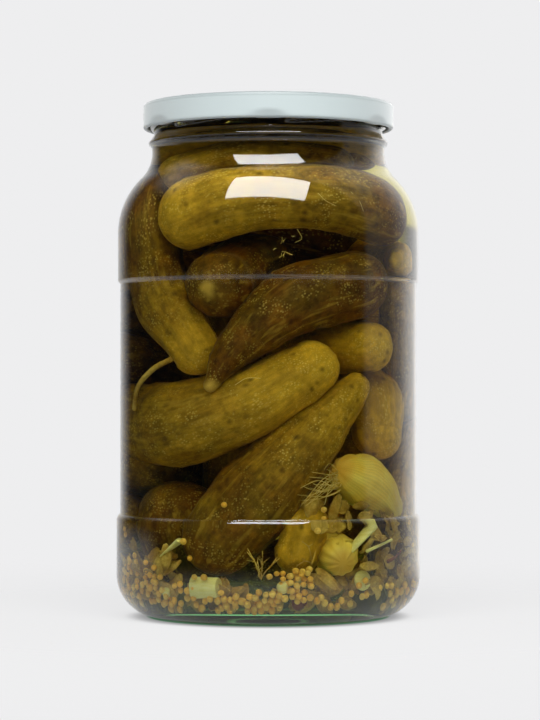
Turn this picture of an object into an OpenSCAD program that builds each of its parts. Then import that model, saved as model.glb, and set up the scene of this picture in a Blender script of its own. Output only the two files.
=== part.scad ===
// Filled two-and-a-half-litre grocery jar with a twist-off lid.
// Three pieces: the blown glass jar, its pressed steel lid, and the brine that fills the jar.
// Millimetres, +Z up. The origin is the centre of the circle that the jar stands on.

/* [Body] */
// Height of the closed jar, from the table to the top of the lid
total_h = 231; // [225:0.5:240]
// Diameter of the lower band, which protects the label panel
lower_band_d = 137; // [135.5:0.1:139]
// Diameter of the recessed label panel
panel_d = 133.8; // [131:0.1:134.4]
// Diameter of the upper band, under the shoulder
upper_band_d = 136; // [135:0.1:138]
// Height at which the lower band starts to step in to the panel
panel_bottom_z = 43.4; // [35:0.1:50]
// Height at which the panel starts to step out to the upper band
panel_top_z = 149.2; // [140:0.1:155]
// Thickness of the side wall, measured at the upper band
wall = 2.8; // [2.4:0.1:3.2]

/* [Base] */
// Radius of the rounded heel
heel_r = 19; // [16:0.5:21]
// Width of the flat ring that the jar stands on
bearing_w = 2.6; // [2:0.1:4]
// Height of the hollow under the base
pushup_h = 4.5; // [3:0.1:6]
// Thickness of the glass at the base
base_t = 7.5; // [5:0.1:8.5]
// Radius inside the heel
inner_heel_r = 14; // [11:0.5:15]

/* [Shoulder and neck] */
// Height at which the shoulder starts to round in
shoulder_z = 172.4; // [168:0.1:174]
// Radius of the shoulder
shoulder_r = 35; // [32:0.5:37]
// Radius of the hollow between the shoulder and the neck
neck_fillet_r = 16; // [12:0.5:18]
// Diameter of the neck below the bead
neck_d = 105.2; // [104.4:0.1:105.8]
// Diameter over the bead that the jar is carried by in the works
bead_d = 108.2; // [107:0.1:108.8]
// Height of the widest line of the bead
bead_z = 213.2; // [212.5:0.1:214]
// Diameter of the plain wall that the threads stand on
finish_d = 103.6; // [103:0.1:104]
// Diameter of the mouth
mouth_d = 98.8; // [97:0.1:99.4]
// Number of thread starts on the jar, and of lugs on the lid
starts = 6; // [4:1:8]
// How far each thread start stands out of the wall
thread_out = 1.8; // [1.4:0.1:1.9]

/* [Lid] */
// Outer diameter of the lid
lid_d = 113; // [112.6:0.1:114]
// Height of the lid
lid_h = 11.4; // [11:0.1:12]
// Thickness of the lid's steel with its lacquer
lid_t = 0.8; // [0.6:0.1:1]
// Thickness of the sealing ring over the rim of the jar
seal_t = 0.6; // [0.4:0.1:0.8]
// Depth by which the centre panel is sunk
sink = 0.6; // [0.4:0.1:0.8]

/* [Brine] */
// Height of the surface of the brine
brine_z = 221.5; // [218:0.1:222.5]

/* [Hidden] */
$fn = 96;

arc_steps = 10;      // flats along a large arc of an outline
small_steps = 5;     // flats along a small one
step_sweep = 50;     // how far each half of a band's step turns, in degrees
fill_share = 0.0005; // share by which the brine is smaller than the space in the glass
front = -90;         // direction of the jar's front, in degrees

lower_r = lower_band_d / 2;
panel_r = panel_d / 2;
upper_r = upper_band_d / 2;
neck_r = neck_d / 2;
finish_r = finish_d / 2;
mouth_r = mouth_d / 2;
bead_r = bead_d / 2;
lid_r = lid_d / 2;

// Rim of the jar: the lid's steel and its seal lie on it.
rim_z = total_h - lid_t - seal_t;
rim_round = 0.9;
lid_bottom_z = total_h - lid_h;

// Shoulder arc and the hollow arc that meets it smoothly and ends upright at the neck.
shoulder_c = [upper_r - shoulder_r, shoulder_z];
fillet_x = neck_r + neck_fillet_r;
fillet_c = [fillet_x,
            shoulder_z + sqrt(pow(shoulder_r + neck_fillet_r, 2) - pow(fillet_x - shoulder_c.x, 2))];
meet_angle = atan2(fillet_c.y - shoulder_c.y, fillet_c.x - shoulder_c.x);

// Radii inside the jar. The inner wall follows the outer one in long soft curves.
in_lower_r = lower_r - wall - 0.3;
in_panel_r = panel_r - wall;
in_upper_r = upper_r - wall;
floor_z = base_t;

// Bead, threads and lugs
bead_round = 1.1;               // radius of the bead's crown
thread_r = 1.25;                // radius of a thread's round back
thread_sweep = 60;              // how far round the neck one start runs
thread_tilt = 4.4;              // slope of a start
thread_mid_z = bead_z + 8.1;    // height of a start's middle
thread_turn = -22;              // where the first start's middle lies, from the front
lug_sweep = 11;                 // how far round the lid one lug runs
lug_in = 1.5;                   // how far a lug reaches in from the curl
lug_h = 1.1;                    // thickness of a lug
curl_r = 1.1;                   // radius of the rolled edge of the lid

// The lid's panel
corner_r = 1.8;                 // rounding of the lid's top edge
channel_in_r = mouth_r - 3.4;   // inner edge of the raised channel over the rim
channel_slope = 1.8;            // width of the slope down to the panel
button_r = 17;                  // the button that the vacuum holds down
button_rise = 0.4;

function arc(c, r, a0, a1, n = arc_steps) =
    [for (i = [0:n]) let (a = a0 + (a1 - a0) * i / n) [c.x + r * cos(a), c.y + r * sin(a)]];

// A smooth step in a wall, upwards from radius r0 at height z to radius r1, as two equal arcs.
function step_radius(r0, r1, sweep) = abs(r1 - r0) / (2 * (1 - cos(sweep)));
function step_curve(r0, r1, z, sweep = step_sweep) =
    let (rho = step_radius(r0, r1, sweep), way = sign(r1 - r0), top = z + 2 * rho * sin(sweep))
    concat([for (i = [0:small_steps]) let (a = sweep * i / small_steps)
                [r0 + way * rho * (1 - cos(a)), z + rho * sin(a)]],
           [for (i = [small_steps - 1:-1:0]) let (a = sweep * i / small_steps)
                [r1 - way * rho * (1 - cos(a)), top - rho * sin(a)]]);

// Outer outline of the glass, from under the centre of the base up to the mouth.
function glass_outside() = concat(
    [[0, pushup_h], [0.66 * (lower_r - heel_r), pushup_h]],
    arc([lower_r - heel_r - bearing_w - pushup_h, 0], pushup_h, 60, 0, small_steps),
    arc([lower_r - heel_r, heel_r], heel_r, -90, 0),
    step_curve(lower_r, panel_r, panel_bottom_z),
    step_curve(panel_r, upper_r, panel_top_z),
    arc(shoulder_c, shoulder_r, 0, meet_angle),
    arc(fillet_c, neck_fillet_r, 180 + meet_angle, 180),
    [[neck_r, bead_z - 2 * bead_round]],
    arc([bead_r - bead_round, bead_z], bead_round, -70, 55, small_steps),
    [[finish_r, bead_z + 3.4]],
    arc([finish_r - rim_round, rim_z - rim_round], rim_round, 0, 90, small_steps));

// Inner outline, from the centre of the floor up to the mouth.
function glass_inside() = concat(
    [[0, floor_z + pushup_h], [0.55 * lower_r, floor_z + 0.5 * pushup_h]],
    arc([in_lower_r - inner_heel_r, floor_z + inner_heel_r], inner_heel_r, -80, 0),
    step_curve(in_lower_r, in_panel_r, panel_bottom_z - 3, 15),
    step_curve(in_panel_r, in_upper_r, panel_top_z - 3, 15),
    arc(shoulder_c, shoulder_r - wall, 0, meet_angle),
    arc(fillet_c, neck_fillet_r + wall, 180 + meet_angle, 180),
    [[mouth_r, bead_z + 3]],
    arc([mouth_r + rim_round, rim_z - rim_round], rim_round, 180, 90, small_steps));

function reversed(points) = [for (i = [len(points) - 1:-1:0]) points[i]];

// One thread start: a round-backed ridge with round ends, laid on the slope.
module thread_start() {
    centre_r = finish_r + thread_out - thread_r;
    rotate([thread_tilt, 0, 0]) {
        rotate([0, 0, -thread_sweep / 2])
            rotate_extrude(angle = thread_sweep)
                translate([centre_r, 0]) circle(r = thread_r, $fn = 32);
        for (end = [-1, 1])
            rotate([0, 0, end * thread_sweep / 2])
                translate([centre_r, 0, 0]) sphere(r = thread_r, $fn = 32);
    }
}

// The glass jar: a turned wall with the thread starts round its mouth.
module jar() {
    color([0.86, 0.95, 0.90, 0.35])
    union() {
        rotate_extrude() polygon(concat(glass_outside(), reversed(glass_inside())));
        for (i = [0:starts - 1])
            rotate([0, 0, front + thread_turn + i * 360 / starts])
                translate([0, 0, thread_mid_z]) thread_start();
    }
}

// Section of the lid: button, sunk panel, raised channel, skirt, and the curl rolled in at its foot.
curl_c = [lid_r - curl_r, lid_bottom_z + curl_r];
panel_z = total_h - sink;

function button_top(z) = [[0, z + button_rise], [button_r - 1.5, z + button_rise], [button_r, z]];

function lid_outside() = concat(
    button_top(panel_z),
    [[channel_in_r - channel_slope, panel_z], [channel_in_r, total_h]],
    arc([lid_r - corner_r, total_h - corner_r], corner_r, 90, 0, small_steps),
    arc(curl_c, curl_r, 0, -180, 2 * small_steps));

function lid_inside() = concat(
    [[lid_r - 2 * curl_r, curl_c.y + 0.5], [lid_r - lid_t, curl_c.y + 1.4]],
    arc([lid_r - corner_r, total_h - corner_r], corner_r - lid_t, 0, 90, small_steps),
    [[finish_r + 0.8, total_h - lid_t], [finish_r + 0.2, rim_z], [mouth_r - 0.6, rim_z]],
    [[channel_in_r - channel_slope, panel_z - lid_t]],
    reversed(button_top(panel_z - lid_t)));

// The twist-off lid: a pressed steel cap with lugs bent in from its curl.
module lid() {
    color([0.83, 0.87, 0.88])
    union() {
        rotate_extrude() polygon(concat(lid_outside(), lid_inside()));
        for (i = [0:starts - 1])
            rotate([0, 0, front + i * 360 / starts - lug_sweep / 2])
                rotate_extrude(angle = lug_sweep)
                    translate([lid_r - 2 * curl_r - lug_in, lid_bottom_z + 0.1])
                        square([lug_in + curl_r, lug_h]);
    }
}

// The brine fills the jar from its floor to the level in the neck. Its outline is the inner
// outline of the glass drawn in a little towards the jar's middle.
function drawn_in(p) = let (mid = total_h / 2) [p.x, p.y - mid] * (1 - fill_share) + [0, mid];
function brine_outline() = concat(
    [for (p = glass_inside()) if (p.y < brine_z) drawn_in(p)],
    [[drawn_in([mouth_r, 0]).x, brine_z], [0, brine_z]]);

module brine() {
    color([0.42, 0.38, 0.10, 0.7])
    rotate_extrude() polygon(brine_outline());
}

jar();
lid();
brine();
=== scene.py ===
"""A large grocer's jar of pickled gherkins: blown glass jar with a twist-off lid, filled with
brine, gherkins, mustard seed, onions and dill. Metres, Z up, the jar's axis on Z, front towards -Y.
"""

import math
import random

import bmesh
import bpy
import numpy as np
from mathutils import Matrix, Vector, noise


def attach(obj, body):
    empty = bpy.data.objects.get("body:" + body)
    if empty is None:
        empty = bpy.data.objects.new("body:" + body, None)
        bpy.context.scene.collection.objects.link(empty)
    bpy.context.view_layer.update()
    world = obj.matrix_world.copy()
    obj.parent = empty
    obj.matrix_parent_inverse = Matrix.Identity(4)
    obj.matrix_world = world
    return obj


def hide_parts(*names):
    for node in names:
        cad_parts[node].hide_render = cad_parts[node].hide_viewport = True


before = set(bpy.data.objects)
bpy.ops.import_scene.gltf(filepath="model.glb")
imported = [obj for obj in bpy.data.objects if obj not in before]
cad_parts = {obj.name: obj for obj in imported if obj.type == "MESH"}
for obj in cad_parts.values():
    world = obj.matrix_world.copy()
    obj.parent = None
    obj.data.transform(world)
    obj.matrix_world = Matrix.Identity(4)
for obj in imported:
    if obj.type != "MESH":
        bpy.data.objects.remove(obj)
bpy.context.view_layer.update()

# ---- Camera --------------------------------------------------------------------------------------
# A long lens a little over a metre away, a little below the middle of the jar and looking very
# slightly up, so that the jar's sides stay upright and the foot of the lid shows.
scene = bpy.context.scene
camera = bpy.data.objects.new("camera", bpy.data.cameras.new("camera"))
scene.collection.objects.link(camera)
camera.data.sensor_width = 36
camera.data.lens = 127.6
camera.data.clip_end = 20
eye, aim = Vector((0.0008, -1.155, 0.1023)), Vector((0.0008, 0, 0.1155))
camera.location = eye
camera.rotation_euler = (aim - eye).to_track_quat("-Z", "Y").to_euler()
scene.camera = camera
scene.view_settings.view_transform = "Standard"
# Light that runs round inside the thick foot meets many walls before it leaves.
scene.cycles.max_bounces = scene.cycles.transmission_bounces = scene.cycles.glossy_bounces = 28


# ---- Studio --------------------------------------------------------------------------------------
# Seamless pale paper under the jar that runs out into an evenly lit backdrop. The room on the
# camera's side is dim, so that the glass mirrors little there.
def linear(hex_colour):
    """The linear colour of an sRGB hex value such as "#dce3e6"."""
    parts = [int(hex_colour[i:i + 2], 16) / 255 for i in (1, 3, 5)]
    return (*[p / 12.92 if p <= 0.04045 else ((p + 0.055) / 1.055) ** 2.4 for p in parts], 1)


def add(tree, kind, inputs=None, **settings):
    """Adds a node. Each input is a value, or a socket to link from."""
    made = tree.nodes.new(kind)
    for name, value in settings.items():
        setattr(made, name, value)
    for name, value in (inputs or {}).items():
        if isinstance(value, bpy.types.NodeSocket):
            tree.links.new(value, made.inputs[name])
        else:
            made.inputs[name].default_value = value
    return made


def blank_material(name):
    """A new material, and its node tree with nothing in it."""
    made = bpy.data.materials.new(name)
    made.use_nodes = True
    made.node_tree.nodes.clear()
    return made, made.node_tree


def placed(name, bm, material):
    """Makes an object of a bmesh that is already in its place."""
    made = bpy.data.objects.new(name, bpy.data.meshes.new(name))
    bm.to_mesh(made.data)
    bm.free()
    scene.collection.objects.link(made)
    made.data.materials.append(material)
    return made


BACKDROP = linear("#eeeeef")
world = bpy.data.worlds.new("studio room")
scene.world = world
world.use_nodes = True
tree = world.node_tree
tree.nodes.clear()
way = add(tree, "ShaderNodeSeparateXYZ", {0: add(tree, "ShaderNodeTexCoord").outputs["Generated"]})
# How far each part of the room reaches, as a range of directions over which it fades in.
part = {}
for name, axis, start, stop in (
        ("backdrop", "Y", 0.66, 0.98), ("table", "Z", -0.10, -0.25), ("low", "Z", -0.02, -0.07),
        ("aside", "Y", -0.05, 0.30), ("above", "Z", 0.50, 0.75), ("left", "X", -0.30, -0.60),
        ("far right", "X", 0.30, 0.60), ("right", "X", 0.0, 0.1), ("right wall", "Y", -0.24, -0.14),
        ("corner", "Y", 0.25, 0.60), ("window side", "X", 0.10, 0.30), ("window", "Y", 0.50, 0.75)):
    faded = add(tree, "ShaderNodeMapRange", {"Value": way.outputs[axis], "From Min": start, "From Max": stop},
                interpolation_type="SMOOTHSTEP")
    part[name] = faded.outputs[0]
# A grey wall stands along the right, and the backdrop turns the corner there, beside a bright window.
# The walls' upper parts are lit on both sides, and so is the table beside and behind the jar.
for name, a, b in (("high", "above", "aside"), ("upper left", "left", "high"),
                   ("upper right", "far right", "high"),
                   ("wall", "right", "right wall"), ("turned backdrop", "right", "corner"),
                   ("side table", "low", "aside"), ("bright window", "window side", "window")):
    part[name] = add(tree, "ShaderNodeMath", {0: part[a], 1: part[b]}, operation="MULTIPLY").outputs[0]
lit = part["backdrop"]
for name in ("table", "side table", "turned backdrop"):
    lit = add(tree, "ShaderNodeMath", {0: lit, 1: part[name]}, operation="MAXIMUM").outputs[0]
# Looked at directly, the room is the plain backdrop on every side.
DIM = (0.020, 0.020, 0.020, 1)
colour = DIM
for weight, paint in ((part["upper left"], (1.0, 1.0, 1.0, 1)), (part["wall"], (0.36, 0.36, 0.36, 1)),
                      (part["upper right"], (1.0, 1.0, 1.0, 1)), (lit, BACKDROP),
                      (part["bright window"], (1.5, 1.5, 1.5, 1)),
                      (add(tree, "ShaderNodeLightPath").outputs["Is Camera Ray"], BACKDROP)):
    colour = add(tree, "ShaderNodeMix", {"Factor": weight, 6: colour, 7: paint}, data_type="RGBA").outputs[2]
glow = add(tree, "ShaderNodeBackground", {"Color": colour, "Strength": 1.0})
add(tree, "ShaderNodeOutputWorld", {"Surface": glow.outputs[0]})

# The softbox hangs above and in front, a little turned and leaning towards the jar.
bm = bmesh.new()
corners = [(-0.37, -0.25, 1.43), (0.52, -0.35, 1.36), (0.55, -0.94, 0.98), (-0.64, -0.83, 1.03)]
bm.faces.new([bm.verts.new(corner) for corner in corners])
diffuser, tree = blank_material("lit diffuser cloth")
cloth = add(tree, "ShaderNodeEmission", {"Color": (1, 1, 0.985, 1), "Strength": 14.0})
add(tree, "ShaderNodeOutputMaterial", {"Surface": cloth.outputs[0]})
softbox = placed("softbox", bm, diffuser)
softbox.visible_camera = False

bm = bmesh.new()
bmesh.ops.create_circle(bm, cap_ends=True, segments=96, radius=3.0)
paper_stock, tree = blank_material("matt white background paper")
where = add(tree, "ShaderNodeTexCoord").outputs["Object"]
reach = add(tree, "ShaderNodeVectorMath", {0: where}, operation="LENGTH")
fade = add(tree, "ShaderNodeMapRange", {"Value": reach.outputs["Value"], "From Min": 0.10, "From Max": 0.42},
           interpolation_type="SMOOTHSTEP")
# The paper lies on a light table, so most of its light comes from below and shadows stay faint.
# Round the heel its glow is turned down into a painted contact shadow for the jar's own shade, with a painted
# dark green ring under the heel and a painted green glow under the foot that stand in for light running down
# the glass.
painted_contact_shadow = add(tree, "ShaderNodeMapRange", {
    "Value": reach.outputs["Value"], "From Min": 0.055, "From Max": 0.066, "To Min": 0.38, "To Max": 0.86},
    interpolation_type="SMOOTHSTEP")
matt = add(tree, "ShaderNodeBsdfDiffuse", {"Color": (0.07, 0.07, 0.07, 1)})
from_below = add(tree, "ShaderNodeEmission", {"Color": BACKDROP, "Strength": painted_contact_shadow.outputs[0]})
# Painted rings: a dark green painted shade at the bearing ring, and a painted green glow inside it.
for stop, painted_ring_colour in ((0.0545, (0.07, 0.16, 0.09, 1)), (0.0465, (0.30, 0.82, 0.36, 1))):
    nearer = add(tree, "ShaderNodeMapRange", {
        "Value": reach.outputs["Value"], "From Min": stop + 0.001, "From Max": stop - 0.001})
    painted_green_glow = add(tree, "ShaderNodeEmission", {"Color": painted_ring_colour, "Strength": 0.9})
    from_below = add(tree, "ShaderNodeMixShader", {
        0: nearer.outputs[0], 1: from_below.outputs[0], 2: painted_green_glow.outputs[0]})
paper_light = add(tree, "ShaderNodeAddShader", {0: matt.outputs[0], 1: from_below.outputs[0]})
blend = add(tree, "ShaderNodeMixShader", {0: fade.outputs[0], 1: paper_light.outputs[0],
                                          2: add(tree, "ShaderNodeBsdfTransparent").outputs[0]})
add(tree, "ShaderNodeOutputMaterial", {"Surface": blend.outputs[0]})
placed("paper_sweep", bm, paper_stock)


# ---- Glass jar -----------------------------------------------------------------------------------
# Soda-lime container glass, blown in a two-part mould: thick foot, straight label panel between
# two bands, round shoulder, and a twist-off finish with six thread starts above a bead.
MM = 0.001


def arc(centre, r, start, stop, steps=10):
    """Points of an arc in the (radius, height) plane, angles in degrees."""
    turn = [math.radians(start + (stop - start) * i / steps) for i in range(steps + 1)]
    return [(centre[0] + r * math.cos(a), centre[1] + r * math.sin(a)) for a in turn]


def step_in_wall(r0, r1, z, sweep=50, steps=8, share=0.5):
    """A smooth step upwards from radius r0 to r1, as two arcs. The first takes its share of the step."""
    turn = [math.radians(sweep * i / steps) for i in range(steps + 1)]
    rho = [abs(r1 - r0) * part / (1 - math.cos(turn[-1])) for part in (share, 1 - share)]
    way, top = (1 if r1 > r0 else -1), z + sum(rho) * math.sin(turn[-1])
    low = [(r0 + way * rho[0] * (1 - math.cos(a)), z + rho[0] * math.sin(a)) for a in turn]
    return low + [(r1 - way * rho[1] * (1 - math.cos(a)), top - rho[1] * math.sin(a)) for a in turn[-2::-1]]


def turned(outline, steps=192):
    """A bmesh of a closed outline in (radius, height) millimetres, turned once round the axis."""
    bm = bmesh.new()
    verts = [bm.verts.new((r * MM, 0, z * MM)) for r, z in outline]
    edges = [bm.edges.new(pair) for pair in zip(verts, verts[1:])]
    bmesh.ops.spin(bm, geom=verts + edges, axis=(0, 0, 1), cent=(0, 0, 0), dvec=(0, 0, 0),
                   angle=2 * math.pi, steps=steps, use_merge=True, use_duplicate=False)
    bmesh.ops.remove_doubles(bm, verts=bm.verts, dist=2e-6)
    bmesh.ops.recalc_face_normals(bm, faces=bm.faces)
    return bm


def piece(name, bm, material, replaced=None):
    """Makes a finished piece of a bmesh. It rides on the jar."""
    for face in bm.faces:
        face.smooth = True
    made = placed(name, bm, material)
    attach(made, "root")
    if replaced:
        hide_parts(replaced)
    return made


# Radii and heights in millimetres, and the centres of the arcs of shoulder and neck.
LOWER_R, PANEL_R, UPPER_R, HEEL_R, PUSH_UP = 68.5, 66.9, 68.0, 19, 4.5
FILL_Z, RIM_Z = 221.5, 229.6
SHOULDER, NECK_FILLET, NECK_TURN = (33.0, 172.4), (68.6, 208.92), 45.73
BEAD_Z, FINISH_R, MOUTH_R = 213.2, 51.8, 49.4
THREAD_Z, THREAD_SLOPE, THREAD_OUT = 221.3, 4.4, 1.75


def straight(p, q, steps):
    """Points between p and q, without its ends."""
    return [(p[0] + (q[0] - p[0]) * i / steps, p[1] + (q[1] - p[1]) * i / steps) for i in range(1, steps)]


glass_outside = (
    [(0, PUSH_UP), (20, PUSH_UP), (32.6, PUSH_UP)] + arc((42.4, 0), PUSH_UP, 60, 0, 6)
    + arc((LOWER_R - HEEL_R, HEEL_R), HEEL_R, -90, 0, 24)
    + step_in_wall(LOWER_R, PANEL_R, 43.4, share=0.78)
    + step_in_wall(PANEL_R, UPPER_R, 149.2)
    + arc(SHOULDER, 35, 0, NECK_TURN, 24)
    + arc(NECK_FILLET, 16, 180 + NECK_TURN, 180, 16)
    + [(52.6, 210.9)]
    + arc((53.0, BEAD_Z), 1.1, -70, 55, 8)
    + [(FINISH_R, 216.6)] + straight((FINISH_R, 216.6), (FINISH_R, 226.4), 26)
    + [(FINISH_R, 226.4)] + arc((FINISH_R - 0.9, RIM_Z - 0.9), 0.9, 0, 90, 6))
glass_inside = (
    [(0, 12), (20, 11.2), (37.7, 9.75)]
    + arc((51.4, 21.5), 14, -80, 0, 20)
    + step_in_wall(65.4, 64.1, 40.4, 15)
    + step_in_wall(64.1, 65.2, 146.2, 15)
    + arc(SHOULDER, 32.2, 0, NECK_TURN, 24)
    + arc(NECK_FILLET, 18.8, 180 + NECK_TURN, 180, 16)
    + [(MOUTH_R, 216.2), (MOUTH_R, FILL_Z)]
    + arc((MOUTH_R + 0.9, RIM_Z - 0.9), 0.9, 180, 90, 6))

bm = turned(glass_outside + glass_inside[::-1], 256)
# Thread starts: six round-backed ridges, each a sixth of a turn long and slightly sloped.
for v in bm.verts:
    r, z = math.hypot(v.co.x, v.co.y), v.co.z / MM
    if z > 215 and r > (FINISH_R - 0.2) * MM:
        round_neck = math.degrees(math.atan2(v.co.y, v.co.x)) + 90 + 22
        swing = (round_neck + 30) % 60 - 30
        climb = math.tan(math.radians(THREAD_SLOPE)) * FINISH_R * math.sin(math.radians(swing))
        off = math.hypot((z - THREAD_Z - climb) / 1.35, max(0.0, abs(swing) - 27) / 2.6)
        out = THREAD_OUT * max(0.0, 1 - off * off) ** 0.6 * MM
        v.co.x += v.co.x / r * out
        v.co.y += v.co.y / r * out
wet = bm.faces.layers.float.new("wet")
for face in bm.faces:
    mid = face.calc_center_median()
    inward = (face.normal.x * mid.x + face.normal.y * mid.y < 0
              or (5 * MM < mid.z < 20 * MM and face.normal.z > 0.2))
    face[wet] = float(inward and 5 * MM < mid.z < FILL_Z * MM)

# Clear in the thin walls, and bottle green where light runs a long way through it, in the foot. Blown
# glass is a little wavy, which bends the edges of what it mirrors.
container_glass, tree = blank_material("soda-lime container glass")
where = add(tree, "ShaderNodeTexCoord").outputs["Object"]
# Against the brine the glass bends light by the ratio of their two indices, 1.52 to 1.345.
ratio = add(tree, "ShaderNodeMapRange", {
    "Value": add(tree, "ShaderNodeAttribute", attribute_name="wet").outputs["Fac"],
    "To Min": 1.52, "To Max": 1.13})
ripple = add(tree, "ShaderNodeTexNoise", {"Vector": where, "Scale": 38.0, "Detail": 1.0})
bump = add(tree, "ShaderNodeBump", {"Height": ripple.outputs[0], "Strength": 0.06, "Distance": 0.0012})
glass = add(tree, "ShaderNodeBsdfPrincipled", {
    "Base Color": linear("#ffffff"), "Roughness": 0.0, "IOR": ratio.outputs[0],
    "Transmission Weight": 1.0, "Normal": bump.outputs[0]})
green = add(tree, "ShaderNodeVolumeAbsorption", {"Color": (0.16, 0.46, 0.13, 1), "Density": 27.0})
add(tree, "ShaderNodeOutputMaterial", {"Surface": glass.outputs[0], "Volume": green.outputs[0]})
piece("glass_jar", bm, container_glass, "jar")


# ---- Brine ---------------------------------------------------------------------------------------
# Vinegar brine, yellowed by the dill and the gherkins, up to just under the mouth. It reaches a
# little way into the wall, so no air shows between them.
INTO_WALL = 0.4
inside = [(r + INTO_WALL * (r > 1), z - (INTO_WALL if z < 14 else 0)) for r, z in glass_inside if z < FILL_Z]
bm = turned(inside + [(MOUTH_R + INTO_WALL, FILL_Z), (0, FILL_Z)], 192)
free = bm.faces.layers.float.new("free")
for face in bm.faces:
    face[free] = float(face.normal.z > 0.9 and face.calc_center_median().z > (FILL_Z - 1) * MM)
# Clear and straw yellow: it takes the blue out of whatever lies deep in it.
pickling_brine, tree = blank_material("vinegar brine")
# Only its free surface bends light by its own index; where it meets glass, the glass does that.
index = add(tree, "ShaderNodeMapRange", {
    "Value": add(tree, "ShaderNodeAttribute", attribute_name="free").outputs["Fac"],
    "To Min": 1.0, "To Max": 1.345})
clear = add(tree, "ShaderNodeBsdfPrincipled", {
    "Base Color": linear("#ffffff"), "Roughness": 0.0, "IOR": index.outputs[0], "Transmission Weight": 1.0})
yellow = add(tree, "ShaderNodeVolumeAbsorption", {"Color": (0.86, 0.79, 0.17, 1), "Density": 30.0})
add(tree, "ShaderNodeOutputMaterial", {"Surface": clear.outputs[0], "Volume": yellow.outputs[0]})
piece("brine", bm, pickling_brine, "brine")


# ---- Lid -----------------------------------------------------------------------------------------
# Twist-off cap pressed from tinplate, stoved with white enamel: a sunk panel with the vacuum
# button, a raised channel over the rim, and six lugs bent in from the curl, each with its dent.
CURL_R = 1.1
LID_R, LID_FOOT = 56.5, 219.6
DENT_SWEEP, DENT_H, DENT_IN = 9.5, 3.6, 0.8
lid_section = (
    [(0, 230.8), (12, 230.8), (15.2, 230.72), (17, 230.4), (20, 230.4), (44, 230.4), (45.0, 230.7), (46, 231)]
    + arc((54.9, 229.4), 1.6, 90, 0, 8)
    + straight((LID_R, 229.4), (LID_R, 220.7), 10)
    + arc((LID_R - CURL_R, LID_FOOT + CURL_R), CURL_R, 0, -180, 10)
    + [(54.3, 221.2), (55.7, 222.1), (55.7, 228.6)]
    + arc((54.1, 228.6), 1.6, 0, 90, 6)
    + [(52.6, 230.2), (52.0, 229.6), (48.8, 229.6), (44.2, 229.6), (17, 229.6), (15.5, 230), (0, 230)])
bm = turned(lid_section, 192)
# The dents that the lug tool leaves at the foot of the skirt.
for v in bm.verts:
    r, z = math.hypot(v.co.x, v.co.y), v.co.z / MM
    if r > 53.5 * MM and z < 227:
        swing = (math.degrees(math.atan2(v.co.y, v.co.x)) + 90 + 30) % 60 - 30
        off = math.hypot(swing / DENT_SWEEP, (z - LID_FOOT) / DENT_H)
        dent = DENT_IN * max(0.0, 1 - off * off) ** 1.2 * MM
        v.co.x -= v.co.x / r * dent
        v.co.y -= v.co.y / r * dent
# The lugs themselves, short shelves under the curl.
for k in range(6):
    lug = bmesh.ops.create_cube(bm, size=1)["verts"]
    bmesh.ops.scale(bm, verts=lug, vec=(10.5 * MM, 2.6 * MM, 1.1 * MM))
    bmesh.ops.translate(bm, verts=lug, vec=(0, -53.3 * MM, 220.3 * MM))
    bmesh.ops.rotate(bm, verts=lug, cent=(0, 0, 0), matrix=Matrix.Rotation(math.radians(60 * k), 3, "Z"))
# Smooth cool white with a satin face, faintly orange-peeled by the stoving.
enamel, tree = blank_material("white stoving enamel")
where = add(tree, "ShaderNodeTexCoord").outputs["Object"]
grain = add(tree, "ShaderNodeTexNoise", {"Vector": where, "Scale": 900.0, "Detail": 2.0})
cloud = add(tree, "ShaderNodeTexNoise", {"Vector": where, "Scale": 30.0, "Detail": 2.0})
tint = add(tree, "ShaderNodeMix", {"Factor": cloud.outputs[0], 6: linear("#afbabc"), 7: linear("#b6c1c2")},
           data_type="RGBA")
# The top edge is painted greyer: a painted shade that keeps the light from above from making it brighter than
# the sides.
at = add(tree, "ShaderNodeSeparateXYZ", {0: where})
over = add(tree, "ShaderNodeMapRange", {"Value": at.outputs["Z"], "From Min": 0.2288, "From Max": 0.2304})
flat = add(tree, "ShaderNodeCombineXYZ", {0: at.outputs["X"], 1: at.outputs["Y"]})
edge = add(tree, "ShaderNodeMapRange", {
    "Value": add(tree, "ShaderNodeVectorMath", {0: flat.outputs[0]}, operation="LENGTH").outputs["Value"],
    "From Min": 0.0530, "From Max": 0.0545, "To Max": 0.8})
painted_edge_shade = add(tree, "ShaderNodeMath", {0: over.outputs[0], 1: edge.outputs[0]}, operation="MULTIPLY")
colour_with_painted_shade = add(tree, "ShaderNodeMix", {"Factor": painted_edge_shade.outputs[0], 6: tint.outputs[2], 7: linear("#687173")},
           data_type="RGBA")
peel = add(tree, "ShaderNodeBump", {"Height": grain.outputs[0], "Strength": 0.08, "Distance": 0.0002})
skin = add(tree, "ShaderNodeBsdfPrincipled", {
    "Base Color": colour_with_painted_shade.outputs[2], "Roughness": 0.48, "IOR": 1.5, "Specular IOR Level": 0.5,
    "Sheen Weight": 0.55, "Sheen Roughness": 0.5, "Normal": peel.outputs[0]})
add(tree, "ShaderNodeOutputMaterial", {"Surface": skin.outputs[0]})
piece("lid", bm, enamel, "lid")
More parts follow.
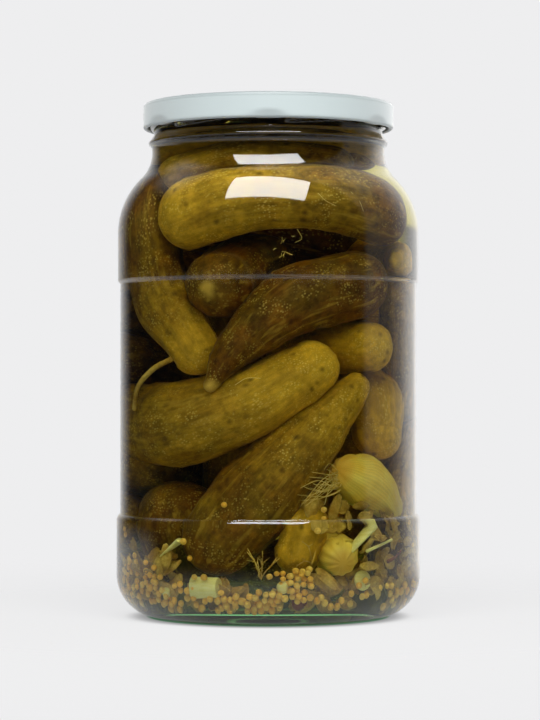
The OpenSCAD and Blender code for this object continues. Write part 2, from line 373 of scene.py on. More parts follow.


# ---- Gherkins ------------------------------------------------------------------------------------
# Whole pickled gherkins, 60 to 130 mm long, packed by hand through the mouth: olive to yellow
# warty skins, each swept along a bent line with its own thickness from stem end to blossom end.
# Each is (tone at its first end, tone at its last, stations), with a station's place and radius in
# millimetres. The tones are partly the skin's own colour and partly painted shade: a gherkin is made
# darker at an end that others shade and lighter where the light falls on it. The first ones lie against
# the front and the neck; the others settle among them.
front_gherkins = {
    "gherkin_01": (0.82, 0.00, [(-31, -37, 178, 14.5), (-14, -46, 183, 14), (6, -47, 185, 13.5),
                                (28, -39, 184.5, 14), (44.5, -24, 179.5, 14)]),
    "gherkin_02": (0.00, 0.88, [(-45, -11, 184, 13), (-46, -18, 168, 14), (-42, -23, 144, 14),
                                (-28, -40, 119, 11)]),
    "gherkin_03": (0.10, 0.00, [(-19, -42, 148, 15), (-11, -24, 154, 15), (-2, 0, 161, 12)]),
    "gherkin_04": (0.14, 0.07, [(-24, -55, 104, 3.5), (-12, -52, 121, 9.5), (10, -46, 140, 15),
                                (34, -33, 148, 15.5)]),
    "gherkin_05": (0.30, 1.00, [(-41, 13, 87, 18), (-32, -29, 87, 19), (-6, -46, 97, 16),
                                (17, -45, 111, 12.5)]),
    "gherkin_06": (0.14, 0.85, [(-19, -43, 37, 16), (-4, -44, 56, 18), (16, -44, 80, 14),
                                (35, -38, 103, 7)]),
    "gherkin_07": (1.00, 0.45, [(41, -31.5, 121, 11), (25, -21, 121, 12), (10, 0, 120, 11)]),
    "gherkin_08": (1.00, 0.60, [(43, -22, 82, 11.5), (41, -17, 95, 12.5), (28, 6, 108, 11)]),
    "gherkin_09": (1.00, 0.40, [(51, -22, 159.5, 4.5), (47, -6, 160, 8.5), (30, 12, 160, 11),
                                (6, 22, 160, 10)]),
    "gherkin_10": (0.45, 0.45, [(50, -4, 142, 12), (50, -2, 118, 12.5), (46, 6, 98, 11)]),
    "gherkin_11": (0.16, 0.10, [(-33, -19, 43, 19), (-30, -12, 28, 15)]),
    "gherkin_12": (0.75, 0.25, [(-35, -17, 194, 10.5), (-8, -27, 202, 11.5), (22, -16, 199, 11)]),
    "gherkin_13": (1.00, 0.80, [(16, -46, 43, 9.5), (12, -49, 31, 9.5)]),
    "gherkin_18": (0.30, 0.50, [(-47, 18, 116, 13), (-30, 38, 109, 15), (-4, 49, 106, 13)]),
    "gherkin_19": (0.75, 0.45, [(43, 26, 112, 12), (28, 40, 131, 14), (8, 48, 144, 12)]),
    "gherkin_21": (0.50, 0.40, [(20, 42, 150, 11), (7, 46, 168, 12.5), (0, 44, 188, 11)]),
    "gherkin_24": (1.00, 1.00, [(-34, 2, 208, 12), (0, -4, 209, 12.3), (34, 2, 208, 12)]),
    "gherkin_28": (0.35, 0.35, [(-40, 6, 70, 14), (-30, 22, 64, 15), (-14, 34, 60, 13)]),
    "gherkin_29": (0.00, 0.00, [(-16, 8, 174, 11), (4, 6, 172, 12), (20, 10, 168, 10)]),
    "gherkin_31": (0.45, 0.55, [(-46, 24, 139, 11), (-28, 42, 131, 12), (-8, 50, 126, 11)]),
    "gherkin_33": (0.50, 0.40, [(-36, 32, 19.5, 9.5), (-10, 46, 19.5, 9.5), (14, 46, 19.5, 9.5),
                                (36, 32, 19.5, 9.5)]),
    "gherkin_30": (0.30, 0.30, [(4, 22, 197, 10), (20, 8, 193, 10.5), (30, -6, 198, 9.5)]),
}
back_gherkins = {
    "gherkin_14": (0.55, 0.40, [(-40, 40, 30, 14), (-44, 30, 58, 15), (-46, 12, 84, 13)]),
    "gherkin_15": (0.40, 0.55, [(-12, 48, 28, 15), (-10, 50, 60, 16), (-14, 46, 90, 13)]),
    "gherkin_16": (0.65, 0.45, [(22, 44, 26, 14), (20, 48, 52, 15), (26, 44, 82, 13)]),
    "gherkin_17": (0.50, 0.65, [(46, 14, 24, 14), (46, 20, 50, 15), (44, 26, 78, 12)]),
    "gherkin_20": (0.45, 0.20, [(-44, 24, 156, 13), (-34, 34, 176, 14), (-18, 38, 190, 11)]),
    "gherkin_22": (0.35, 0.50, [(-8, 12, 40, 15), (-4, 10, 70, 15), (0, 8, 96, 12)]),
    "gherkin_23": (0.50, 0.30, [(-10, 12, 118, 13), (-12, 14, 140, 14), (-14, 10, 160, 12)]),
    "gherkin_25": (0.40, 0.60, [(22, 6, 32, 13), (24, 8, 54, 14), (20, 10, 76, 12)]),
    "gherkin_26": (0.55, 0.35, [(-18, 44, 150, 13), (-6, 48, 166, 14), (-4, 44, 184, 11)]),
    "gherkin_27": (0.45, 0.30, [(-28, 26, 206, 11), (-2, 32, 208, 12), (24, 26, 206, 11)]),
    "gherkin_32": (0.30, 0.45, [(-22, -2, 22, 11), (4, -8, 23, 12), (26, -6, 22, 10)]),
}
# A healed scar and a worn tip, where the skin is pale, each with its radius.
pale_places = {"gherkin_03": (-25, -54, 146, 4.2), "gherkin_04": (-24, -57, 101, 6.5)}


LOWEST, HIGHEST, PART_SHARE, WALL_SHARE = 11, 221, 0.22, 0.6


def settle(fixed, loose, rounds=160):
    """Pushes the loose gherkins' stations apart from each other, the rest and the wall."""
    wall = np.array(sorted((z, r) for r, z in glass_inside if r > 44 and z < FILL_Z))
    names = list(fixed) + list(loose)
    stations = [np.array({**fixed, **loose}[n][2], float) for n in names]
    at = np.concatenate(stations)
    owner = np.repeat(np.arange(len(names)), [len(s) for s in stations])
    free = (owner >= len(fixed)).astype(float)
    mix, kin, first = [], [], 0
    for n, s in enumerate(stations):
        for k in range(len(s) - 1):
            for share in ((0, 0.5) if k < len(s) - 2 else (0, 0.5, 1)):
                row = np.zeros(len(at))
                row[first + k], row[first + k + 1] = 1 - share, share
                mix.append(row)
                kin.append(n)
        first += len(s)
    mix, kin = np.array(mix), np.array(kin)
    apart = kin[:, None] != kin[None, :]
    pairs = [(i, j, np.linalg.norm(at[i, :3] - at[j, :3])) for i in range(len(at)) for j in range(i)
             if owner[i] == owner[j] and free[i]]
    balls_r = mix @ at[:, 3]
    for _ in range(rounds):
        balls = mix @ at[:, :3]
        gap = balls[:, None] - balls[None]
        dist = np.linalg.norm(gap, axis=2) + 1e-9
        deep = np.where(apart, np.maximum(0, balls_r[:, None] + balls_r[None] - dist), 0)
        push = (gap / dist[..., None] * deep[..., None]).sum(1) * PART_SHARE
        r = np.hypot(balls[:, 0], balls[:, 1]) + 1e-9
        limit = np.interp(balls[:, 2], wall[:, 0], wall[:, 1]) - balls_r
        over = np.maximum(0, r - limit)
        push[:, :2] -= balls[:, :2] / r[:, None] * over[:, None] * WALL_SHARE
        push[:, 2] += np.maximum(0, LOWEST + balls_r - balls[:, 2]) * WALL_SHARE
        push[:, 2] -= np.maximum(0, balls[:, 2] + balls_r - HIGHEST) * WALL_SHARE
        at[:, :3] += (mix.T @ push) * free[:, None]
        for i, j, length in pairs:
            line = at[i, :3] - at[j, :3]
            fix = line * (1 - length / np.linalg.norm(line)) / 2
            at[i, :3] -= fix
            at[j, :3] += fix
    return {n: at[owner == k] for k, n in enumerate(names)}


def along(stations, t):
    """A smooth line's point and radius at t, from 0 at its first station to 1 at its last."""
    last = len(stations) - 1
    k = min(int(t * last), last - 1)
    f = t * last - k
    p = [stations[min(max(k + i, 0), last)] for i in (-1, 0, 1, 2)]
    if k == 0:
        p[0] = 2 * p[1] - p[2]
    if k == last - 1:
        p[3] = 2 * p[2] - p[1]
    return 0.5 * (2 * p[1] + (p[2] - p[0]) * f + (2 * p[0] - 5 * p[1] + 4 * p[2] - p[3]) * f ** 2
                  + (3 * p[1] - p[0] - 3 * p[2] + p[3]) * f ** 3)


def swept_ball(bm, stations, round_it, rings):
    """A ball drawn out along the stations. Gives each vertex with its angle, way along and radius."""
    balls = bmesh.ops.create_uvsphere(bm, u_segments=round_it, v_segments=rings, radius=1)["verts"]
    line = [along(stations, i / 60) for i in range(61)]
    length = [0.0]
    for p, q in zip(line, line[1:]):
        length.append(length[-1] + np.linalg.norm(q[:3] - p[:3]))
    total = length[-1] + line[0][3] + line[-1][3]
    side = Vector((line[1] - line[0])[:3]).orthogonal().normalized()
    frames = {}
    for height in sorted({round(v.co.z, 5) for v in balls}, reverse=True):
        polar = math.acos(max(-1, min(1, height)))
        s = total * (0.5 * (0.5 - 0.5 * math.cos(polar)) + 0.5 * polar / math.pi)
        on = s - line[0][3]
        t = float(np.interp(on, length, np.linspace(0, 1, 61)))
        here = along(stations, t)
        ahead = along(stations, min(1, t + 0.01)) - along(stations, max(0, t - 0.01))
        ahead = Vector(ahead[:3]).normalized()
        side = (side - ahead * side.dot(ahead)).normalized()
        past = min(0, on) + max(0, on - length[-1])
        centre = Vector(here[:3]) + ahead * past
        r = here[3]
        thick = math.sqrt(max(0, r * r - past * past)) if past else r
        frames[height] = (Vector(here[:3]), centre, side.copy(), ahead.cross(side), thick, s, total)
    out = []
    for v in balls:
        core, centre, side, other, thick, s, total = frames[round(v.co.z, 5)]
        angle = math.atan2(v.co.y, v.co.x)
        spot = centre + (side * math.cos(angle) + other * math.sin(angle)) * thick
        v.co = spot * MM
        out.append((v, angle, s, total, thick, (spot - core).normalized()))
    return out


WARTS_APART, WART_R, WART_H = 7.0, 2.0, 0.7


def gherkin(tones_with_painted_shade, stations, seed, pale_place):
    """One gherkin as a mesh, with its skin's own coordinates and its tone, partly painted shade, kept for the
    material.
    """
    bm = bmesh.new()
    skin = bm.verts.layers.float_vector.new("skin")
    shade = bm.verts.layers.float_vector.new("shade")
    rng = random.Random(seed)
    turn, shift = rng.uniform(0, 6.28), Vector([rng.uniform(-500, 500) for _ in range(3)])
    for v, angle, s, total, thick, out in swept_ball(bm, stations, 96, 88):
        own = Vector((thick * math.cos(angle), thick * math.sin(angle), s)) + shift
        inner = min(1, min(s, total - s) / 9)
        lobes = 0.025 * math.cos(3 * angle + turn) + 0.012 * math.cos(9 * angle + 2 * turn)
        lumps = noise.fractal(own / 15, 1.0, 2.0, 2) * 0.9
        near = noise.voronoi(own / WARTS_APART)[0][0] * WARTS_APART
        wart = max(0, 1 - near / WART_R) ** 1.5
        v.co += out * MM * (inner * (thick * lobes + lumps + wart * WART_H) - 0.35)
        pale = 0.10 * (1 - min(1, min(s, total - s) / 5))
        if pale_place:
            pale = max(pale, min(1, 2 - 2 * (v.co / MM - Vector(pale_place[:3])).length / pale_place[3]))
        v[skin] = own * MM
        v[shade] = (tones_with_painted_shade[0] + (tones_with_painted_shade[1] - tones_with_painted_shade[0]) * (s / total) ** 1.4, pale, s / total)
    return bm


# Waxy skin gone soft and olive in the brine. Its ground runs from brown to straw yellow, cloudy at
# 3 mm and drawn out lengthwise, with dark wart scars 10 mm apart, pale streaks, and fine pale specks
# that are drawn twice their size, half a millimetre, so that they show.
brined_skin, tree = blank_material("brined gherkin skin")
skin_at = add(tree, "ShaderNodeAttribute", attribute_name="skin").outputs["Vector"]
shade = add(tree, "ShaderNodeSeparateXYZ", {
    0: add(tree, "ShaderNodeAttribute", attribute_name="shade").outputs["Vector"]})
lengthwise = add(tree, "ShaderNodeMapping", {"Vector": skin_at, "Scale": (1, 1, 0.13)}).outputs[0]
# The ground's tone, from brown to straw yellow, is partly the skin's own colour and partly painted shade.
ground = add(tree, "ShaderNodeMix", {
    "Factor": shade.outputs["X"], 6: linear("#452b06"), 7: linear("#d6aa2c")}, data_type="RGBA")
# The darker the skin, the more russet there is in it.
russet = add(tree, "ShaderNodeTexNoise", {"Vector": skin_at, "Scale": 62.0, "Detail": 3.0})
russet = add(tree, "ShaderNodeMapRange", {"Value": russet.outputs[0], "From Min": 0.42, "From Max": 0.60})
ripe = add(tree, "ShaderNodeMapRange", {"Value": shade.outputs["X"], "To Min": 0.75, "To Max": 0.05})
russet = add(tree, "ShaderNodeMath", {0: russet.outputs[0], 1: ripe.outputs[0]}, operation="MULTIPLY")
ground = add(tree, "ShaderNodeMix", {
    "Factor": russet.outputs[0], 6: ground.outputs[2], 7: linear("#71450b")}, data_type="RGBA")
depth = None
for at, scale, detail, start, stop in ((skin_at, 75.0, 2.0, 0.80, 1.15), (skin_at, 310.0, 4.0, 0.70, 1.20),
                                       (lengthwise, 480.0, 3.0, 0.82, 1.14)):
    cloud = add(tree, "ShaderNodeTexNoise", {"Vector": at, "Scale": scale, "Detail": detail,
                                             "Roughness": 0.62})
    share = add(tree, "ShaderNodeMapRange", {"Value": cloud.outputs[0], "From Min": 0.38, "From Max": 0.62,
                                             "To Min": start, "To Max": stop}).outputs[0]
    if depth:
        share = add(tree, "ShaderNodeMath", {0: depth, 1: share}, operation="MULTIPLY").outputs[0]
    depth = share
# The palest skins are the smoothest.
even = add(tree, "ShaderNodeMapRange", {"Value": shade.outputs["X"], "From Min": 0.5, "From Max": 1.0,
                                        "To Max": 0.5})
depth = add(tree, "ShaderNodeMix", {"Factor": even.outputs[0], 2: depth, 3: 1.0}).outputs[0]
aged = add(tree, "ShaderNodeVectorMath", {0: ground.outputs[2], "Scale": depth}, operation="SCALE")
streak = add(tree, "ShaderNodeTexNoise", {"Vector": lengthwise, "Scale": 300.0, "Detail": 2.0})
streaks = add(tree, "ShaderNodeMapRange", {"Value": streak.outputs[0], "From Min": 0.58, "From Max": 0.68,
                                           "To Max": 0.35})
streaked = add(tree, "ShaderNodeMix", {
    "Factor": streaks.outputs[0], 6: aged.outputs[0], 7: linear("#c8a236")}, data_type="RGBA")
dots = add(tree, "ShaderNodeTexVoronoi", {"Vector": skin_at, "Scale": 850.0})
dot = add(tree, "ShaderNodeMapRange", {
    "Value": dots.outputs["Distance"], "From Min": 0.42, "From Max": 0.20})
patch = add(tree, "ShaderNodeTexNoise", {"Vector": skin_at, "Scale": 110.0, "Detail": 2.0})
patches = add(tree, "ShaderNodeMapRange", {"Value": patch.outputs[0], "From Min": 0.44, "From Max": 0.62})
showing = add(tree, "ShaderNodeMapRange", {"Value": shade.outputs["X"], "To Min": 0.30, "To Max": 0.55})
speckle = add(tree, "ShaderNodeMath", {0: dot.outputs[0], 1: patches.outputs[0]}, operation="MULTIPLY")
speckle = add(tree, "ShaderNodeMath", {0: speckle.outputs[0], 1: showing.outputs[0]}, operation="MULTIPLY")
speckled = add(tree, "ShaderNodeMix", {
    "Factor": speckle.outputs[0], 6: streaked.outputs[2], 7: linear("#f4d662")}, data_type="RGBA")
scars = add(tree, "ShaderNodeTexVoronoi", {"Vector": skin_at, "Scale": 150.0})
scar = add(tree, "ShaderNodeMapRange", {
    "Value": scars.outputs["Distance"], "From Min": 0.26, "From Max": 0.05})
rare = add(tree, "ShaderNodeMapRange", {"Value": patch.outputs[0], "From Min": 0.50, "From Max": 0.60,
                                        "To Min": 0.55, "To Max": 0.0})
scar = add(tree, "ShaderNodeMath", {0: scar.outputs[0], 1: rare.outputs[0]}, operation="MULTIPLY")
scarred = add(tree, "ShaderNodeMix", {
    "Factor": scar.outputs[0], 6: speckled.outputs[2], 7: linear("#2e1c06")}, data_type="RGBA")
colour_with_painted_shade = add(tree, "ShaderNodeMix", {
    "Factor": shade.outputs["Y"], 6: scarred.outputs[2], 7: linear("#cba743")}, data_type="RGBA")
fine = add(tree, "ShaderNodeBump", {"Height": cloud.outputs[0], "Strength": 0.3, "Distance": 0.0008})
rind = add(tree, "ShaderNodeBsdfPrincipled", {
    "Base Color": colour_with_painted_shade.outputs[2], "Roughness": 0.5, "IOR": 1.38, "Specular IOR Level": 0.1,
    "Normal": fine.outputs[0]})
add(tree, "ShaderNodeOutputMaterial", {"Surface": rind.outputs[0]})

settled = settle(front_gherkins, back_gherkins)
for k, (name, stations) in enumerate(settled.items()):
    tones_with_painted_shade = {**front_gherkins, **back_gherkins}[name][:2]
    piece(name, gherkin(tones_with_painted_shade, stations, 100 + k, pale_places.get(name)), brined_skin)


# ---- Mustard seed --------------------------------------------------------------------------------
# Yellow mustard seed, about 3 mm, sunk to the foot of the jar and caught between the gherkins.
# Each bed is its range of degrees round the jar from the front, its heights, and its number.
seed_beds = [(-57, -45, 12, 24, 24), (-47, -37, 11, 15, 10), (-39, -29, 14, 19, 9), (-30, -12, 11, 14, 18),
             (-13, 4, 11, 16, 24), (0, 17, 14, 26, 36), (-78, -60, 12, 29, 28), (20, 40, 11, 15, 7),
             (42, 72, 11, 18, 16), (72, 180, 10, 18, 46), (-180, -80, 10, 18, 46), (72, 290, 20, 50, 18)]
lone_seeds = [(-13, 52), (22, 52), (22, 48), (19, 43), (-34, 38), (-31, 31), (-54, 28), (-49, 26), (-29, 23),
              (-25, 23), (-18, 16), (-72, 41), (-62, 30), (37, 19), (34, 16), (29, 12), (40, 21), (56, 15)]
SEED_R = 1.42
solid = np.array([along(s, i / 8) for s in settled.values() for i in range(9)])
# The inner face of the glass: height and radius up the wall, radius and height across the floor.
wall_line = np.array(sorted((z, r) for r, z in glass_inside if r > 44 and z < FILL_Z))
floor_line = (0, 20, 37.7, 52), (12, 11.2, 9.8, 7.6)


def wall_at(z):
    """The radius inside the glass at height z."""
    return float(np.interp(z, wall_line[:, 0], wall_line[:, 1]))


def by_wall(turn, z, gap):
    """The place this many degrees round from the front, at height z, this far in from the glass."""
    out = wall_at(z) - gap
    return out * math.sin(math.radians(turn)), -out * math.cos(math.radians(turn)), z


def sink(spots, radii, rounds=70, drop=0.02):
    """Lets small things part from each other, the gherkins, the wall and the floor."""
    at, radii = np.array(spots, float), np.array(radii, float)
    for _ in range(rounds):
        at[:, 2] -= drop
        for other, other_r, share in ((at, radii, 0.5), (solid[:, :3], solid[:, 3], 1.0)):
            gap = at[:, None] - other[None]
            dist = np.linalg.norm(gap, axis=2) + 1e-6
            deep = np.maximum(0, radii[:, None] + other_r[None] - dist) * (dist > 1e-5)
            at = at + (gap / dist[..., None] * deep[..., None]).sum(1) * share * 0.6
        out = np.hypot(at[:, 0], at[:, 1]) + 1e-6
        limit = np.interp(at[:, 2], wall_line[:, 0], wall_line[:, 1]) - radii - 0.2
        at[:, :2] *= np.minimum(1, limit / out)[:, None]
        at[:, 2] = np.maximum(at[:, 2], np.interp(out, *floor_line) + radii)
    return at


rng = random.Random(11)
spots = []
for start, stop, low_z, high_z, number in seed_beds:
    spots += [by_wall(rng.uniform(start, stop), rng.uniform(low_z, high_z), rng.uniform(1.7, 5.0))
              for _ in range(number)]
spots += [by_wall(turn, z, SEED_R + 0.2) for turn, z in lone_seeds]
sizes = [SEED_R * rng.uniform(0.88, 1.12) for _ in spots]
bm = bmesh.new()
hue = bm.verts.layers.float.new("hue")
for place, r in zip(sink(spots, sizes), sizes):
    ball = bmesh.ops.create_icosphere(bm, subdivisions=2, radius=r * MM)["verts"]
    bmesh.ops.scale(bm, verts=ball, vec=(1, rng.uniform(0.88, 1), rng.uniform(0.9, 1)))
    bmesh.ops.rotate(bm, verts=ball, matrix=Matrix.Rotation(rng.uniform(0, 3), 3, "X"))
    bmesh.ops.translate(bm, verts=ball, vec=Vector(place) * MM)
    tint = rng.random()
    for v in ball:
        v[hue] = tint
# Under brine, anything wet has little gloss of its own.
WET_GLOSS = {"IOR": 1.4, "Specular IOR Level": 0.1}
# Pale ochre seed coat, dull and finely pitted, each seed its own shade.
seed_coat, tree = blank_material("soaked mustard seed coat")
hue_of = add(tree, "ShaderNodeAttribute", attribute_name="hue").outputs["Fac"]
where = add(tree, "ShaderNodeTexCoord").outputs["Object"]
pits = add(tree, "ShaderNodeTexNoise", {"Vector": where, "Scale": 1500.0, "Detail": 1.0})
ochre = add(tree, "ShaderNodeMix", {"Factor": hue_of, 6: linear("#ffc440"), 7: linear("#ffea78")},
            data_type="RGBA")
pitted = add(tree, "ShaderNodeMix", {"Factor": pits.outputs[0], 6: linear("#f6be40"), 7: ochre.outputs[2]},
             data_type="RGBA")
coat = add(tree, "ShaderNodeBsdfPrincipled", {"Base Color": pitted.outputs[2], "Roughness": 0.5, **WET_GLOSS})
add(tree, "ShaderNodeOutputMaterial", {"Surface": coat.outputs[0]})
piece("mustard_seeds", bm, seed_coat)


# ---- Onion bulbs ---------------------------------------------------------------------------------
# Two peeled silverskin onions, yellowed by the brine; the upper one keeps its beard of roots.
def bulb(stations, ribs, seed):
    """An onion drawn along its stations, with the faint ribs of its layers."""
    bm = bmesh.new()
    skin = bm.verts.layers.float_vector.new("skin")
    for v, angle, s, total, thick, out in swept_ball(bm, stations, 64, 48):
        rib = math.cos(ribs * angle + 0.9 * math.sin(s / 4)) * 0.3 * min(1, thick / 6)
        v.co += out * MM * (rib + noise.noise(Vector((angle, s / 8, seed))) * 0.25)
        v[skin] = (angle, s / total, seed)
    return bm


# Translucent layered flesh, butter yellow from the brine, streaked along its layers and pinkish
# brown about the root.
flesh, tree = blank_material("brined onion flesh")
where = add(tree, "ShaderNodeTexCoord").outputs["Object"]
ends = add(tree, "ShaderNodeSeparateXYZ", {
    0: add(tree, "ShaderNodeAttribute", attribute_name="skin").outputs["Vector"]})
cloud = add(tree, "ShaderNodeTexNoise", {"Vector": where, "Scale": 160.0, "Detail": 3.0})
lines = add(tree, "ShaderNodeTexWave", {"Vector": add(tree, "ShaderNodeCombineXYZ", {
    0: ends.outputs["X"]}).outputs[0], "Scale": 2.2, "Distortion": 1.5, "Detail": 1.0})
body = add(tree, "ShaderNodeMix", {"Factor": cloud.outputs[0], 6: linear("#f2c032"), 7: linear("#fff07a")},
           data_type="RGBA")
veined = add(tree, "ShaderNodeMix", {"Factor": add(tree, "ShaderNodeMath", {
    0: lines.outputs["Fac"], 1: 0.15}, operation="MULTIPLY").outputs[0], 6: body.outputs[2],
    7: linear("#94801c")}, data_type="RGBA")
neck_end = add(tree, "ShaderNodeMapRange", {"Value": ends.outputs["Y"], "From Min": 0.55, "From Max": 0.95,
                                            "To Max": 0.4})
green = add(tree, "ShaderNodeMix", {
    "Factor": neck_end.outputs[0], 6: veined.outputs[2], 7: linear("#b0a43a")}, data_type="RGBA")
root_end = add(tree, "ShaderNodeMapRange", {"Value": ends.outputs["Y"], "From Min": 0.03, "From Max": 0.11,
                                            "To Min": 0.35, "To Max": 0.0})
pink = add(tree, "ShaderNodeMix", {
    "Factor": root_end.outputs[0], 6: green.outputs[2], 7: linear("#e09a4c")}, data_type="RGBA")
wet_flesh = add(tree, "ShaderNodeBsdfPrincipled", {
    "Base Color": pink.outputs[2], "Roughness": 0.45, **WET_GLOSS})
add(tree, "ShaderNodeOutputMaterial", {"Surface": wet_flesh.outputs[0]})
upper_onion = [(33, -40, 65, 8.8), (37, -35, 62.5, 11.6), (43.5, -28, 57, 10), (49, -23, 50, 6.5)]
lower_onion = [(28.5, -47.5, 30, 8.2), (27.5, -45, 31, 9.2), (24, -44.5, 37.5, 5.8), (21.5, -51, 45, 1.8)]
piece("onion_upper", bulb([np.array(p, float) for p in upper_onion], 9, 1.0), flesh)
piece("onion_lower", bulb([np.array(p, float) for p in lower_onion], 11, 2.0), flesh)


# ---- Roots, dill stalks and threads --------------------------------------------------------------
# Root hairs, the stalks and umbels of flowering dill, and pale threads that float in the brine.
def strand(bm, points, r_start, r_stop, round_it=6, rings=12):
    """A thin tapering strand through the points."""
    last = len(points) - 1
    line = [np.array((*p, r_start + (r_stop - r_start) * k / last), float) for k, p in enumerate(points)]
    swept_ball(bm, line, round_it, rings)


rng = random.Random(23)
bm = bmesh.new()
for k in range(24):
    far = (rng.uniform(10, 27), rng.uniform(-61, -56), rng.uniform(50, 71))
    bend = Vector((rng.uniform(-2, 2), rng.uniform(-1.5, 1), rng.uniform(-4, 4)))
    near = Vector((29 + rng.uniform(-2, 1), -46.5, 63 + rng.uniform(-5, 4)))
    mids = [near.lerp(Vector(far), t) + bend * u - Vector((0, 3 * u, 0)) for t, u in ((0.35, 1), (0.7, 0.6))]
    strand(bm, [near, *mids, far], 0.24, 0.1)
for k in range(8):
    start = Vector((8 + rng.uniform(-6, 3), -61.5, 163 + rng.uniform(-5, 5)))
    step, veer = (Vector((rng.uniform(-1, 1), 0, rng.uniform(-1.2, 1.2))) for _ in range(2))
    strand(bm, [start, start + step, start + 2 * step + veer], 0.16, 0.1, 5, 8)
# A few long threads stick to the skins.
for line in ([(21, -57.5, 186), (24, -57, 183), (28, -55, 181)],
             [(12, -60, 171), (14, -59.5, 167), (11, -60, 165)],
             [(35, -50, 187), (38, -48, 184), (40, -47, 179)],
             [(-14, -60.5, 104), (-9, -61.5, 107), (-3, -62, 107)]):
    strand(bm, line, 0.15, 0.1, 5, 14)
# Soaked hair-like fibre, nearly white where it floats free.
pale_fibre, tree = blank_material("soaked root fibre")
where = add(tree, "ShaderNodeTexCoord").outputs["Object"]
uneven = add(tree, "ShaderNodeTexNoise", {"Vector": where, "Scale": 400.0, "Detail": 1.0})
fibre = add(tree, "ShaderNodeMix", {"Factor": uneven.outputs[0], 6: linear("#c4a238"), 7: linear("#ffe98a")},
            data_type="RGBA")
soft = add(tree, "ShaderNodeBsdfPrincipled", {"Base Color": fibre.outputs[2], "Roughness": 0.6, **WET_GLOSS})
add(tree, "ShaderNodeOutputMaterial", {"Surface": soft.outputs[0]})
piece("root_hairs", bm, pale_fibre)

bm = bmesh.new()
strand(bm, [(-56, -24, 94), (-55, -28, 103), (-48, -36, 111), (-38, -38, 116)], 1.5, 1.2, 16, 30)


def keep_in(bm):
    """Moves whatever would stand in the glass or the floor back to their inner side."""
    for v in bm.verts:
        r, z = math.hypot(v.co.x, v.co.y) / MM, v.co.z / MM
        limit = wall_at(z) - 0.4
        if r > limit:
            v.co.x, v.co.y = v.co.x * limit / r, v.co.y * limit / r
        floor = float(np.interp(min(r, limit), *floor_line)) + 0.3
        v.co.z = max(v.co.z, floor * MM)


def umbel(hub, spread, reach, rays):
    """Spokes of a dill umbel from its hub, each forked at its end."""
    for _ in range(rays):
        way = (spread + Vector([rng.uniform(-0.8, 0.8) for _ in range(3)])).normalized()
        tip = hub + way * reach * rng.uniform(0.7, 1.1)
        strand(bm, [hub, (hub + tip) / 2 + Vector((0, 0, 0.6)), tip], 0.35, 0.22)
        for _ in range(3):
            fork = tip + (way + Vector([rng.uniform(-0.9, 0.9) for _ in range(3)])) * 3.2
            strand(bm, [tip, (tip + fork) / 2, fork], 0.22, 0.16, 5, 6)


umbel(Vector((-3, -60, 21)), Vector((0, -0.2, 1)), 8, 7)
umbel(Vector((18, -56, 27)), Vector((0.2, -0.3, 0.9)), 8, 6)
for k in range(10):
    turn, z = rng.uniform(1.9, 4.4), rng.uniform(18, 60)
    hub = Vector((57 * math.sin(turn), -57 * math.cos(turn), z))
    umbel(hub, Vector((-0.3 * math.sin(turn), 0.3 * math.cos(turn), rng.uniform(-0.6, 1))), 9, 6)
keep_in(bm)
# Leaf gone limp and brown-olive, patchy, with darker veins a millimetre apart.
wilted, tree = blank_material("brined dill and leaf")
where = add(tree, "ShaderNodeTexCoord").outputs["Object"]
patch = add(tree, "ShaderNodeTexNoise", {"Vector": where, "Scale": 110.0, "Detail": 3.0, "Roughness": 0.6})
veins = add(tree, "ShaderNodeTexNoise", {"Vector": where, "Scale": 900.0, "Detail": 1.0})
spread_out = add(tree, "ShaderNodeMapRange", {"Value": patch.outputs[0], "From Min": 0.35, "From Max": 0.65})
leaf_hue = add(tree, "ShaderNodeMix", {
    "Factor": spread_out.outputs[0], 6: linear("#bd9336"), 7: linear("#f4d468")}, data_type="RGBA")
veined = add(tree, "ShaderNodeMix", {"Factor": add(tree, "ShaderNodeMath", {
    0: veins.outputs[0], 1: 0.6}, operation="MULTIPLY").outputs[0], 6: leaf_hue.outputs[2],
    7: linear("#6a4c16")}, data_type="RGBA")
limp = add(tree, "ShaderNodeBsdfPrincipled", {
    "Base Color": veined.outputs[2], "Roughness": 0.55, **WET_GLOSS})
add(tree, "ShaderNodeOutputMaterial", {"Surface": limp.outputs[0]})
piece("dill_stalks", bm, wilted)


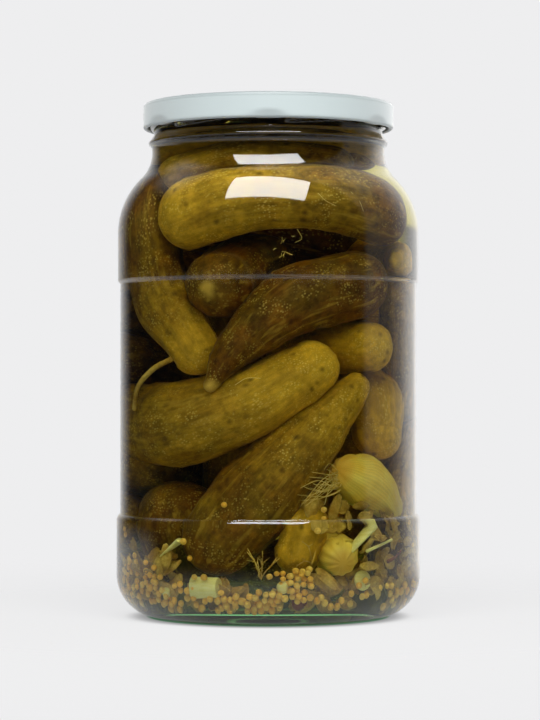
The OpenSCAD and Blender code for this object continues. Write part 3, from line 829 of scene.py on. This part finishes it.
# ---- Leaf scraps ---------------------------------------------------------------------------------
# Torn, curled scraps of bay and dill leaf that lie about the foot of the jar.
# Each drift is its range of degrees round the jar from the front, its heights, how far in from the
# wall it lies, and its number.
leaf_drifts = [(-78, -36, 12, 30, 2.5, 11, 44), (-36, -8, 11, 17, 6, 14, 12), (-8, 20, 11, 13, 6, 12, 6),
               (20, 42, 11, 22, 5, 12, 12), (18, 44, 42, 55, 5, 12, 9), (42, 80, 12, 48, 2.5, 11, 48),
               (80, 282, 12, 46, 5, 16, 60)]
rng = random.Random(31)
bm = bmesh.new()
beds = [(k, drift) for drift in leaf_drifts for k in range(drift[-1])]
for k, (_, (start, stop, low_z, high_z, near, deep, _)) in enumerate(beds):
    turn, z = rng.uniform(start, stop), low_z + (high_z - low_z) * rng.random() ** 1.3
    place = by_wall(turn, z, rng.uniform(near, deep))
    leaf = bmesh.ops.create_grid(bm, x_segments=7, y_segments=5, size=0.5)["verts"]
    long, wide, curl = rng.uniform(6, 14), rng.uniform(3, 7), rng.uniform(-1.6, 1.6)
    for v in leaf:
        x, y = v.co.x * 2, v.co.y * 2
        taper = 1 - 0.75 * x * x
        wave = noise.noise(Vector((x * 2 + k, y * 2, 0))) * 1.3
        v.co = Vector((x * long / 2, y * wide / 2 * taper, curl * (x * x + 0.6 * y * y) + wave))
    turned_to = Matrix.Rotation(math.radians(turn), 3, "Z") @ Matrix.Rotation(
        math.pi / 2 + rng.uniform(-0.7, 0.7), 3, "X") @ Matrix.Rotation(rng.uniform(0, 6.28), 3, "Z")
    bmesh.ops.rotate(bm, verts=leaf, matrix=turned_to)
    bmesh.ops.translate(bm, verts=leaf, vec=place)
bmesh.ops.solidify(bm, geom=bm.faces[:], thickness=0.35)
bmesh.ops.scale(bm, verts=bm.verts, vec=(MM, MM, MM))
keep_in(bm)
bmesh.ops.recalc_face_normals(bm, faces=bm.faces)
piece("leaf_scraps", bm, wilted)


# ---- Cut spice stalks ----------------------------------------------------------------------------
# Short cuts of celery and horseradish stalk, a slice, two pearl onions and a pickled berry.
def cutting(bm, start, stop, r_start, r_stop, flat=1.0):
    """A short cut length of stalk with rounded rims."""
    start, stop = Vector(start), Vector(stop)
    made = bmesh.ops.create_cone(bm, cap_ends=True, segments=32, radius1=r_start, radius2=r_stop,
                                 depth=(stop - start).length)["verts"]
    bmesh.ops.scale(bm, verts=made, vec=(1, flat, 1))
    rims = [e for v in made for e in v.link_edges if len({round(q.co.z, 3) for q in e.verts}) == 1]
    shaped = bmesh.ops.bevel(bm, geom=list(set(rims)), offset=0.5, offset_type="OFFSET", segments=3,
                             profile=0.5, affect="EDGES", material=-1)
    made = list({v for v in made if v.is_valid} | set(shaped["verts"]))
    bmesh.ops.rotate(bm, verts=made, matrix=(stop - start).to_track_quat("Z", "Y").to_matrix())
    bmesh.ops.translate(bm, verts=made, vec=(start + stop) / 2)


bm = bmesh.new()
cutting(bm, (-31.5, -50.5, 17.2), (-20.3, -55.8, 17.4), 4.4, 4.1)
cutting(bm, (-45, -43, 29.5), (-36.5, -49.5, 37), 1.0, 3.4, 0.4)
cutting(bm, (33.5, -50.5, 32), (43, -41, 43), 2.4, 4.4, 0.45)
cutting(bm, (41, -47.5, 32), (52, -35, 36.5), 0.8, 0.6)
cutting(bm, (38.5, -45.5, 19.5), (39.5, -46.7, 19.8), 4.3, 4.3)
bmesh.ops.scale(bm, verts=bm.verts, vec=(MM, MM, MM))
bmesh.ops.recalc_face_normals(bm, faces=bm.faces)
# Pale green-white pith with strings along it, a quarter of a millimetre wide.
pith, tree = blank_material("pale stalk pith")
where = add(tree, "ShaderNodeTexCoord").outputs["Object"]
strings = add(tree, "ShaderNodeTexNoise", {"Vector": add(tree, "ShaderNodeMapping", {
    "Vector": where, "Scale": (0.25, 0.25, 1)}).outputs[0], "Scale": 900.0, "Detail": 2.0})
pale = add(tree, "ShaderNodeMix", {"Factor": strings.outputs[0], 6: linear("#e6db66"), 7: linear("#fffbb4")},
           data_type="RGBA")
cut = add(tree, "ShaderNodeBsdfPrincipled", {"Base Color": pale.outputs[2], "Roughness": 0.5, **WET_GLOSS})
add(tree, "ShaderNodeOutputMaterial", {"Surface": cut.outputs[0]})
piece("stalk_cuttings", bm, pith)

bm = bmesh.new()
for place, r in (((6, -59.5, 17.5), 2.6), ((-42, -42.5, 14.5), 2.0), ((12, -58, 19.5), 2.2)):
    strand(bm, [place, Vector(place) + Vector((0.5, 0, 0.8))], r, r * 0.9, 24, 16)
piece("pearl_onions", bm, pith)

bm = bmesh.new()
strand(bm, [(12.4, -54, 11.8), (13.2, -54, 12.1)], 2.9, 2.8, 28, 20)
strand(bm, [(50, -37, 27), (53, -33.5, 28.5), (55.5, -29, 31)], 0.9, 0.5, 10, 12)
# Taut dark wine-red skin with a faint bloom.
berry_skin, tree = blank_material("dark pickled berry skin")
where = add(tree, "ShaderNodeTexCoord").outputs["Object"]
bloom = add(tree, "ShaderNodeTexNoise", {"Vector": where, "Scale": 300.0, "Detail": 2.0})
wine = add(tree, "ShaderNodeMix", {"Factor": bloom.outputs[0], 6: linear("#572a10"), 7: linear("#945024")},
           data_type="RGBA")
taut = add(tree, "ShaderNodeBsdfPrincipled", {"Base Color": wine.outputs[2], "Roughness": 0.4, "IOR": 1.4,
                                              "Specular IOR Level": 0.15})
add(tree, "ShaderNodeOutputMaterial", {"Surface": taut.outputs[0]})
piece("berry", bm, berry_skin)
